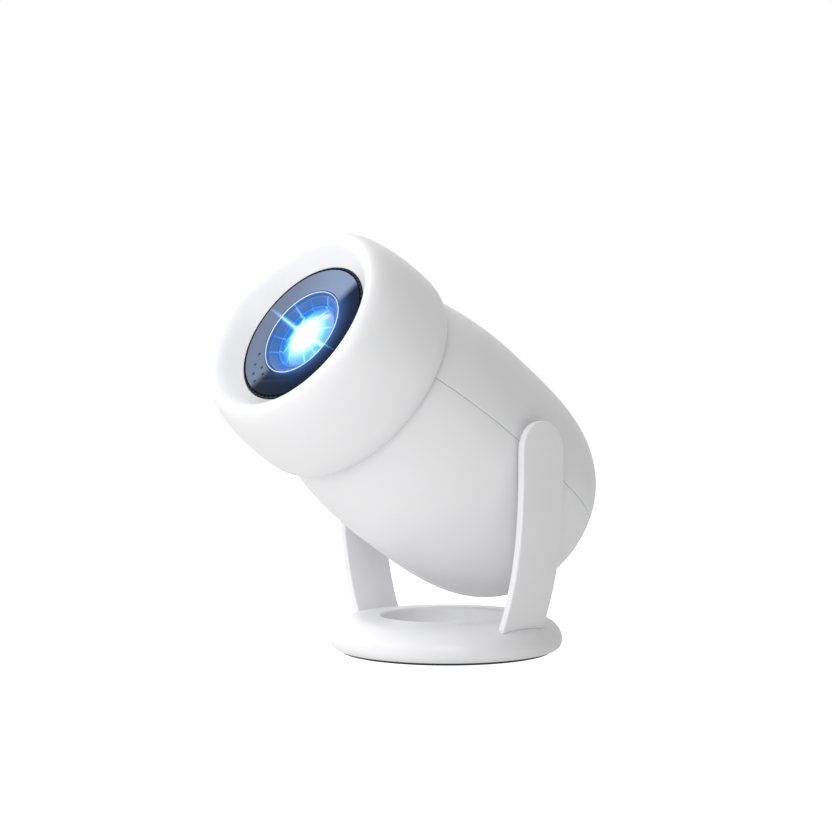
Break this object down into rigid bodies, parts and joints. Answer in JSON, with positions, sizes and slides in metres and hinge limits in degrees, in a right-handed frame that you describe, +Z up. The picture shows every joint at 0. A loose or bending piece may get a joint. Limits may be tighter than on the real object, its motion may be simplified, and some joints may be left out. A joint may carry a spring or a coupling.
{
  "type": "home projector",
  "caption": "Tilting home projector: a bell-fronted egg-shaped head on a friction hinge between two curved arms on a round base.",
  "frame": {"origin": "middle of the round base's underside, on the surface the projector stands on", "axes": "+Z up, +X along the tilt axis towards the right arm, the lens looks along -Y and 31 degrees up at rest"},
  "size_m": [0.128, 0.207, 0.199],
  "materials": {
    "casing_white": "satin",
    "panel_white": "fine matte",
    "black_plastic": "matte",
    "dark_plate": "polished",
    "lcd_glass": "polished",
    "light_ring": "polished",
    "optical_glass": "coated",
    "clear_plastic": "grooved",
    "pad_rubber": "matte",
    "steel": "brushed",
    "bush_nylon": "matte",
    "heat_sink_aluminium": "extruded",
    "circuit_board": "solder mask",
    "film_cable": "film",
    "phosphor": "matte",
    "cone_paper": "matte"
  },
  "bodies": {
    "stand": {"base_pad": "pad_rubber", "base_cover": "black_plastic", "base_weight": "steel", "base_shell": "casing_white", "arm_left": "casing_white", "arm_right": "casing_white", "arm_screw_left": "steel", "arm_screw_right": "steel", "hinge_pin_left": "steel", "hinge_pin_right": "steel", "friction_washer_left": "steel", "friction_washer_right": "steel", "hinge_nut_left": "steel", "hinge_nut_right": "steel"},
    "head": {"upper_shell": "casing_white", "lower_shell": "casing_white", "front_ring": "casing_white", "rear_panel": "panel_white", "mid_frame": "black_plastic", "lens_holder": "black_plastic", "lamp_housing": "black_plastic", "front_hood": "black_plastic", "fan_frame": "black_plastic", "speaker_frame": "black_plastic", "dc_socket": "black_plastic", "audio_socket": "black_plastic", "lens_plate": "dark_plate", "ir_window": "dark_plate", "lcd_panel": "lcd_glass", "light_ring": "light_ring", "collimator_lens": "optical_glass", "fresnel_rear": "clear_plastic", "fresnel_front": "clear_plastic", "ring_screw_1": "steel", "ring_screw_2": "steel", "ring_screw_3": "steel", "rear_screw_1": "steel", "rear_screw_2": "steel", "rear_screw_3": "steel", "hdmi_socket": "steel", "usb_socket": "steel", "hinge_bush_left": "bush_nylon", "hinge_bush_right": "bush_nylon", "led_heat_sink": "heat_sink_aluminium", "soc_heat_sink": "heat_sink_aluminium", "led_board": "heat_sink_aluminium", "main_board": "circuit_board", "port_board": "circuit_board", "lcd_ribbon": "film_cable", "led_chip": "phosphor", "speaker_cone": "cone_paper"},
    "focus_ring": {"focus_ring": "black_plastic"},
    "lens_unit": {"lens_barrel": "black_plastic", "front_lens": "optical_glass", "lens_retainer": "black_plastic", "rear_lens": "optical_glass"},
    "fan": {"fan_rotor": "black_plastic"},
    "power_button": {"power_button": "panel_white"}
  },
  "joints": [
    {"name": "head_tilt", "type": "hinge", "parent": "stand", "child": "head", "pos_m": [0, 0, 0.097], "axis": [-1, 0, 0], "range_deg": [-31, 149]},
    {"name": "focus_turn", "type": "hinge", "parent": "head", "child": "focus_ring", "pos_m": [0, -0.08572, 0.1485], "axis": [0, -0.8572, 0.515], "range_deg": [-60.5, 60.5]},
    {"name": "lens_focus", "type": "slide", "parent": "head", "child": "lens_unit", "axis": [0, -0.8572, 0.515], "range_m": [-0.002, 0.002]},
    {"name": "fan_spin", "type": "hinge", "parent": "head", "child": "fan", "pos_m": [0, 0.045, 0.06996], "axis": [0, -0.8572, 0.515], "continuous": true},
    {"name": "power_button_press", "type": "slide", "parent": "head", "child": "power_button", "axis": [0, -0.8572, 0.515], "range_m": [0, 0.0008], "stiffness_N_per_m": 1000, "springref_m": -0.0005}
  ],
  "couplings": [
    {"joint": "focus_turn", "follows": "lens_focus", "rad_per_m": 523.59}
  ]
}
